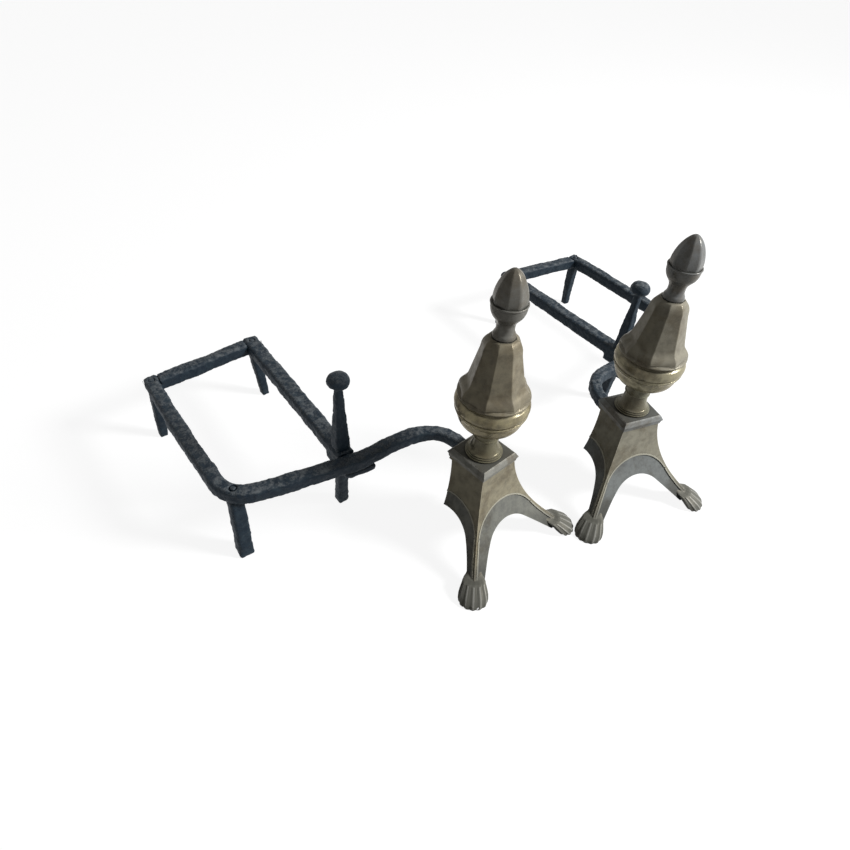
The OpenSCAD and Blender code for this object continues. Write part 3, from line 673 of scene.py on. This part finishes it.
# Colour of the field, how far each base is turned about its rod, and the length
# below which an edge left over by the joins is closed up.
TAN = (0.30, 0.272, 0.195)
FRONT_TURN = {"left": radians(7), "right": radians(-14)}
SLIVER = 0.0002
for side in ("left", "right"):
    node = f"{side}_base"
    axis = rod_foot(side)
    piece = work_copy(node, flat=None)
    bpy.ops.object.mode_set(mode="EDIT")
    for level in FLARE_CUTS:
        bpy.ops.mesh.select_all(action="SELECT")
        bpy.ops.mesh.bisect(plane_co=(0, 0, level / 1000), plane_no=(0, 0, 1))
    bpy.ops.object.mode_set(mode="OBJECT")
    turn_back = Matrix.Rotation(-FRONT_TURN[side], 3, "Z")
    join_threads(piece, axis, turn_back)
    for turn in PAW_TURNS:
        paw = fluted_paw("paw")
        turned_out = Matrix.Rotation(FRONT_TURN[side] + turn, 4, "Z")
        paw.matrix_world = Matrix.Translation(axis) @ turned_out
        bpy.ops.object.transform_apply(location=True, rotation=True, scale=True)
        bpy.context.view_layer.objects.active = piece
        finish_step(piece, "BOOLEAN", object=paw, operation="UNION", solver="EXACT")
        bpy.data.objects.remove(paw)
    bpy.ops.object.select_all(action="DESELECT")
    piece.select_set(True)
    bpy.context.view_layer.objects.active = piece
    bpy.ops.object.mode_set(mode="EDIT")
    bpy.ops.mesh.select_all(action="SELECT")
    bpy.ops.mesh.dissolve_degenerate(threshold=SLIVER)
    bpy.ops.object.mode_set(mode="OBJECT")
    keep_inside(piece)
    smooth_faces(piece, 22)
    piece.data.materials.append(old_brass(
        f"base_brass_{side}", toned(TAN, side), 0.5, 0.38, 0.06, (1, 1, 1), 0.25, zoned_base))
    sunk = piece.data.attributes.new("sunk", "FLOAT", "POINT")
    places = [turn_back @ (point.co - axis) * 1000 for point in piece.data.vertices]
    for value, place in zip(sunk.data, places):
        value.value = skin_at(max(abs(place.x), abs(place.y)), place.z)[0]
    toes = piece.data.attributes.new("toe", "FLOAT", "POINT")
    for turn in PAW_TURNS:
        to_paw = Matrix.Rotation(-FRONT_TURN[side] - turn, 3, "Z")
        for point in piece.data.vertices:
            place = to_paw @ (point.co - axis)
            share = place.z / PAW_HEIGHT
            if share < TOES_TOP and place.y < -TOES_OUT:
                reach = swell_at(share)[2]
                around = atan2(place.x / PAW_WIDTH, -(place.y + reach) / PAW_DEPTH)
                toes.data[point.index].value = toe_ridge(around)
    face_the_flare(piece, places, turn_back.inverted())
    stands_for(piece, node)

# ---- Forged iron ----
# Wrought bars hammered square at the anvil, so no face is flat and no edge is
# sharp. Fire has scaled and pitted them and left ash on their tops.
hammered = bpy.data.textures.new("hammered", "CLOUDS")
hammered.noise_scale = 0.03
hammered.noise_depth = 2
scaled = bpy.data.textures.new("fire_scale", "CLOUDS")
scaled.noise_scale = 0.006
scaled.noise_depth = 3

iron_skin, tree, iron, where = new_material("forged_iron")
aged = group_node(tree, tarnish, where)
edges_and_hollows = group_node(tree, edge_and_hollow_masks)
edges_and_hollows.inputs["Radius"].default_value = 0.003
tops = ramp(tree, facing_up(tree), 0.35, 0.95)
crust = noise_node(tree, where, 130, 9, 0.7).outputs["Fac"]
ash = math_node(tree, "MULTIPLY", tops, ramp(tree, crust, 0.42, 0.66))
colour = mix_colour(tree, aged.outputs["Stain"], (0.006, 0.014, 0.024), (0.018, 0.031, 0.043))
for mask, share, over in (
    (ash, 0.8, (0.16, 0.175, 0.185)),
    (aged.outputs["Speck"], 0.5, (0.2, 0.2, 0.185)),
    (edges_and_hollows.outputs["Edge"], 0.3, (0.1, 0.11, 0.115)),
):
    colour = mix_colour(tree, math_node(tree, "MULTIPLY", mask, share), colour, over)
tree.links.new(colour, iron.inputs["Base Color"])
roughness = math_node(tree, "ADD", 0.42, math_node(tree, "MULTIPLY", crust, 0.35))
tree.links.new(roughness, iron.inputs["Roughness"])
iron.inputs["Specular IOR Level"].default_value = 0.22
height = math_node(tree, "ADD", crust, math_node(tree, "MULTIPLY", aged.outputs["Height"], 0.5))
add_relief(tree, iron, height, 0.8, 0.0012)

# Size of the voxels that a bar is rebuilt from, then the depth of hammer dents
# and of fire scale.
VOXEL, DENTS, PITS = 0.0019, 0.0034, 0.002
FORGED = ["gooseneck_bar", "back_bar", "inner_bar", "log_stop", "front_inner_leg",
          "front_outer_leg", "rear_outer_leg", "rear_inner_leg"]
for side in ("left", "right"):
    for part in FORGED:
        node = f"{side}_{part}"
        piece = work_copy(node)
        finish_step(piece, "REMESH", mode="VOXEL", voxel_size=VOXEL)
        finish_step(piece, "SMOOTH", factor=0.5, iterations=4)
        for texture, strength in ((hammered, DENTS), (scaled, PITS)):
            finish_step(piece, "DISPLACE", texture=texture, texture_coords="LOCAL",
                        strength=strength, mid_level=0.5)
        keep_inside(piece)
        bpy.ops.object.shade_smooth()
        piece.data.materials.append(iron_skin)
        stands_for(piece, node)

# ---- Tie rods and nuts ----
# One plain round iron rod in each column, drawn tight by a square nut inside
# the base. The rod is hidden, and the nut shows from behind and below.
rod_skin, tree, rod, where = new_material("rod_iron")
aged = group_node(tree, tarnish, where)
colour = mix_colour(tree, aged.outputs["Stain"], (0.03, 0.032, 0.034), (0.07, 0.045, 0.028))
tree.links.new(colour, rod.inputs["Base Color"])
tree.links.new(math_node(tree, "ADD", 0.4, math_node(tree, "MULTIPLY", aged.outputs["Blotch"], 0.3)),
               rod.inputs["Roughness"])
add_relief(tree, rod, aged.outputs["Height"], 0.4, 0.0005)
for side in ("left", "right"):
    for part in ("tie_rod", "rod_nut"):
        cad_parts[f"{side}_{part}"].material_slots[0].material = rod_skin
